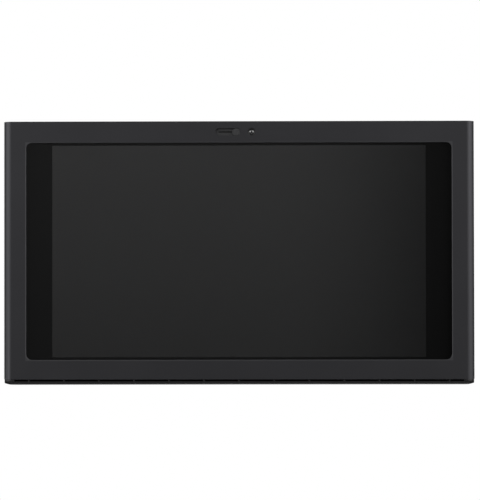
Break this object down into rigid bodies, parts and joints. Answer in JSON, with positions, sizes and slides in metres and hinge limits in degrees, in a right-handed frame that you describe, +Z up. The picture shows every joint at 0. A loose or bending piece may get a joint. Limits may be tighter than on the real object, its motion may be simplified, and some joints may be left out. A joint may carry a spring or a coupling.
{
  "type": "smart display",
  "caption": "Wall-hung kitchen smart display: a wide touch screen with a shuttered camera in a dark steel frame, on a ventilation cabinet with blower, damper and swing-down grease filters.",
  "frame": {"origin": "middle of the underside's rectangle, on the plane of the lower trim and base pan", "axes": "+X to the viewer's right along the width, +Y from the screen towards the wall, +Z up"},
  "size_m": [0.76, 0.4, 0.424],
  "materials": {
    "black_stainless": "dark horizontally brushed stainless steel",
    "clear_glass": "clear glass",
    "lens_glass": "polished high-index lens glass",
    "black_ink": "black ink on the back of the glass",
    "screen": "switched-off screen",
    "light_plastic": "clear moulded light guide",
    "black_rubber": "soft black rubber",
    "galvanised_steel": "zinc-coated steel sheet",
    "black_plastic": "fine-textured black plastic",
    "grey_plastic": "satin dark grey plastic",
    "speaker_cone": "pressed paper and rubber",
    "cream_plastic": "cream thermoplastic",
    "circuit_board": "green solder mask",
    "heatsink_aluminium": "extruded aluminium",
    "brass": "turned brass",
    "antenna_foil": "copper under amber film",
    "painted_case": "satin black powder coat",
    "dark_steel": "black zinc",
    "wheel_steel": "dark coated steel",
    "damper_aluminium": "bare aluminium",
    "filter_aluminium": "satin aluminium",
    "filter_mesh": "expanded aluminium mesh",
    "frosted_lens": "frosted polycarbonate",
    "smoked_window": "smoked polycarbonate"
  },
  "bodies": {
    "cabinet": {"front_frame": "black_stainless", "cover_glass": "clear_glass", "glass_gasket": "black_rubber", "black_border": "black_ink", "lcd_panel": "screen", "light_guide": "light_plastic", "backlight_tray": "galvanised_steel", "display_chassis": "galvanised_steel", "shutter_track": "grey_plastic", "shutter_guide": "black_plastic", "camera_window": "lens_glass", "room_camera": "black_plastic", "room_camera_lens": "lens_glass", "lower_trim": "black_plastic", "power_switch": "cream_plastic", "speaker_box_left": "black_plastic", "speaker_box_right": "black_plastic", "speaker_cones": "speaker_cone", "main_board": "circuit_board", "main_heatsink": "heatsink_aluminium", "power_board": "circuit_board", "board_standoffs": "brass", "wireless_antennas": "antenna_foil", "display_ribbon": "antenna_foil", "electronics_cover": "galvanised_steel", "cooling_fan_frame": "black_plastic", "side_panel_left": "painted_case", "side_panel_right": "painted_case", "top_panel": "painted_case", "back_panel": "painted_case", "base_pan": "painted_case", "wall_plate": "galvanised_steel", "cabinet_weld_nuts": "galvanised_steel", "cord_grommet": "black_rubber", "case_screws": "dark_steel", "blower_housing_left": "galvanised_steel", "blower_housing_right": "galvanised_steel", "blower_motor": "dark_steel", "motor_bracket": "galvanised_steel", "motor_capacitor": "cream_plastic", "outlet_collar": "galvanised_steel", "filter_hinge_lugs": "galvanised_steel", "cooktop_light_lenses": "frosted_lens", "cooktop_light_boards": "cream_plastic", "cooktop_camera": "black_plastic", "cooktop_camera_window": "smoked_window"},
    "privacy_shutter": {"shutter_tab": "grey_plastic", "shutter_blade": "black_plastic"},
    "power_key": {"power_button": "grey_plastic"},
    "cooling_fan": {"cooling_fan_rotor": "black_plastic"},
    "blower_rotor": {"blower_shaft": "galvanised_steel", "blower_wheel_left": "wheel_steel", "blower_wheel_right": "wheel_steel"},
    "exhaust_damper": {"damper_flap": "damper_aluminium"},
    "grease_filter_left": {"filter_frame_left": "filter_aluminium", "filter_mesh_left": "filter_mesh"},
    "grease_filter_right": {"filter_frame_right": "filter_aluminium", "filter_mesh_right": "filter_mesh"},
    "finger_pull_left": {"filter_pull_left": "black_plastic"},
    "finger_pull_right": {"filter_pull_right": "black_plastic"}
  },
  "joints": [
    {"name": "shutter_slide", "type": "slide", "parent": "cabinet", "child": "privacy_shutter", "axis": [-1, 0, 0], "range_m": [0, 0.027]},
    {"name": "power_press", "type": "slide", "parent": "cabinet", "child": "power_key", "axis": [0, 0, 1], "range_m": [0, 0.0015], "stiffness_N_per_m": 800, "springref_m": -0.001},
    {"name": "cooling_fan_spin", "type": "hinge", "parent": "cabinet", "child": "cooling_fan", "pos_m": [0.23, -0.15, 0.29], "axis": [0, 1, 0], "continuous": true},
    {"name": "blower_spin", "type": "hinge", "parent": "cabinet", "child": "blower_rotor", "pos_m": [0, 0.1195, 0.3], "axis": [1, 0, 0], "continuous": true},
    {"name": "damper_swing", "type": "hinge", "parent": "cabinet", "child": "exhaust_damper", "pos_m": [0, 0.1865, 0.416], "axis": [-1, 0, 0], "range_deg": [0, 80]},
    {"name": "filter_left_swing", "type": "hinge", "parent": "cabinet", "child": "grease_filter_left", "pos_m": [-0.185, 0.162, 0.006], "axis": [1, 0, 0], "range_deg": [0, 75]},
    {"name": "filter_right_swing", "type": "hinge", "parent": "cabinet", "child": "grease_filter_right", "pos_m": [0.185, 0.162, 0.006], "axis": [1, 0, 0], "range_deg": [0, 75]},
    {"name": "pull_left_fold", "type": "hinge", "parent": "grease_filter_left", "child": "finger_pull_left", "pos_m": [-0.185, -0.0298, 0.0025], "axis": [1, 0, 0], "range_deg": [0, 80], "stiffness_Nm_per_rad": 0.01, "springref_deg": -34.38},
    {"name": "pull_right_fold", "type": "hinge", "parent": "grease_filter_right", "child": "finger_pull_right", "pos_m": [0.185, -0.0298, 0.0025], "axis": [1, 0, 0], "range_deg": [0, 80], "stiffness_Nm_per_rad": 0.01, "springref_deg": -34.38}
  ]
}
